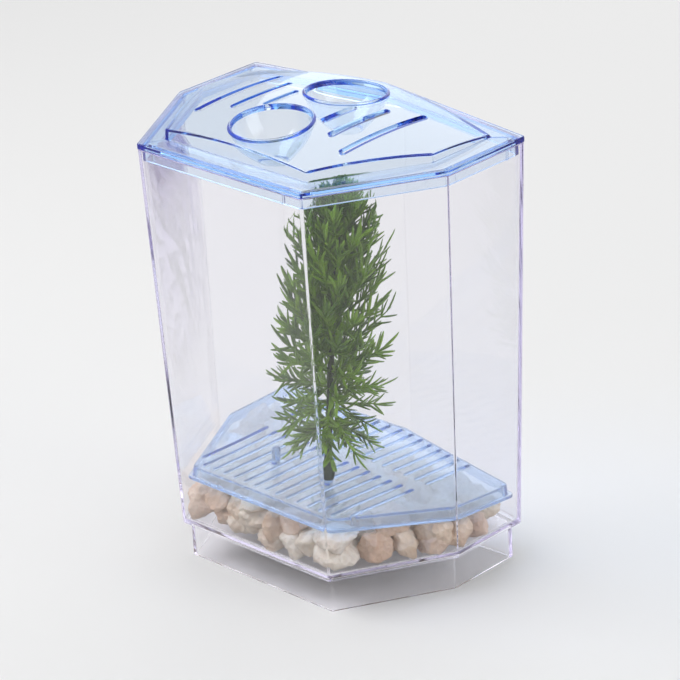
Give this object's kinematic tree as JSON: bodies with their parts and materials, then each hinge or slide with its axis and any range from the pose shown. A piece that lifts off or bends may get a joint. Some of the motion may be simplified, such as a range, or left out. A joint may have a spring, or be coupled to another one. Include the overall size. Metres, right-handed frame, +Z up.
{
  "type": "fish breeding box",
  "caption": "Small clear fish tank with a domed feeding lid, slotted tray over a pebble bed and a plastic plant, used to keep or breed small fish.",
  "frame": {"origin": "middle of the object's footprint, on the surface that it stands on", "axes": "+X to the right of the wide front face, +Y from the front face to the pointed back, +Z up"},
  "size_m": [0.15, 0.108, 0.1973],
  "materials": {
    "clear_plastic": "clear polished moulding",
    "blue_plastic": "clear blue polished moulding",
    "leaf_plastic": "satin green moulding",
    "stem_plastic": "satin dark green moulding",
    "quartz": "rough chipped quartz"
  },
  "bodies": {
    "tank": {"tank_body": "clear_plastic", "pebble_01": "quartz", "pebble_02": "quartz", "pebble_03": "quartz", "pebble_04": "quartz", "pebble_05": "quartz", "pebble_06": "quartz", "pebble_07": "quartz", "pebble_08": "quartz", "pebble_09": "quartz", "pebble_10": "quartz", "pebble_11": "quartz", "pebble_12": "quartz", "pebble_13": "quartz", "pebble_14": "quartz", "pebble_15": "quartz", "pebble_16": "quartz", "pebble_17": "quartz", "pebble_18": "quartz", "pebble_19": "quartz", "pebble_20": "quartz", "pebble_21": "quartz", "pebble_22": "quartz", "pebble_clump_01": "quartz", "pebble_clump_02": "quartz", "pebble_clump_03": "quartz", "pebble_clump_04": "quartz", "pebble_clump_05": "quartz", "pebble_clump_06": "quartz", "pebble_clump_07": "quartz", "pebble_clump_08": "quartz", "pebble_clump_09": "quartz", "pebble_clump_10": "quartz", "pebble_clump_11": "quartz", "pebble_clump_12": "quartz"},
    "lid": {"lid": "blue_plastic"},
    "tray": {"gravel_tray": "blue_plastic"},
    "plant": {"leaf_whorl_01": "leaf_plastic", "leaf_whorl_02": "leaf_plastic", "leaf_whorl_03": "leaf_plastic", "leaf_whorl_04": "leaf_plastic", "leaf_whorl_05": "leaf_plastic", "leaf_whorl_06": "leaf_plastic", "leaf_whorl_07": "leaf_plastic", "leaf_whorl_08": "leaf_plastic", "leaf_whorl_09": "leaf_plastic", "leaf_whorl_10": "leaf_plastic", "leaf_whorl_11": "leaf_plastic", "leaf_whorl_12": "leaf_plastic", "leaf_whorl_13": "leaf_plastic", "leaf_whorl_14": "leaf_plastic", "plant_collar": "stem_plastic", "plant_stem": "stem_plastic"}
  },
  "joints": [
    {"name": "lid_lift", "type": "slide", "parent": "tank", "child": "lid", "axis": [0, 0, 1], "range_m": [0, 0.05]},
    {"name": "tray_lift", "type": "slide", "parent": "tank", "child": "tray", "axis": [0, 0, 1], "range_m": [0, 0.005]},
    {"name": "plant_pull", "type": "slide", "parent": "tray", "child": "plant", "axis": [0, 0.0958, 0.9954], "range_m": [0, 0.0075]}
  ]
}
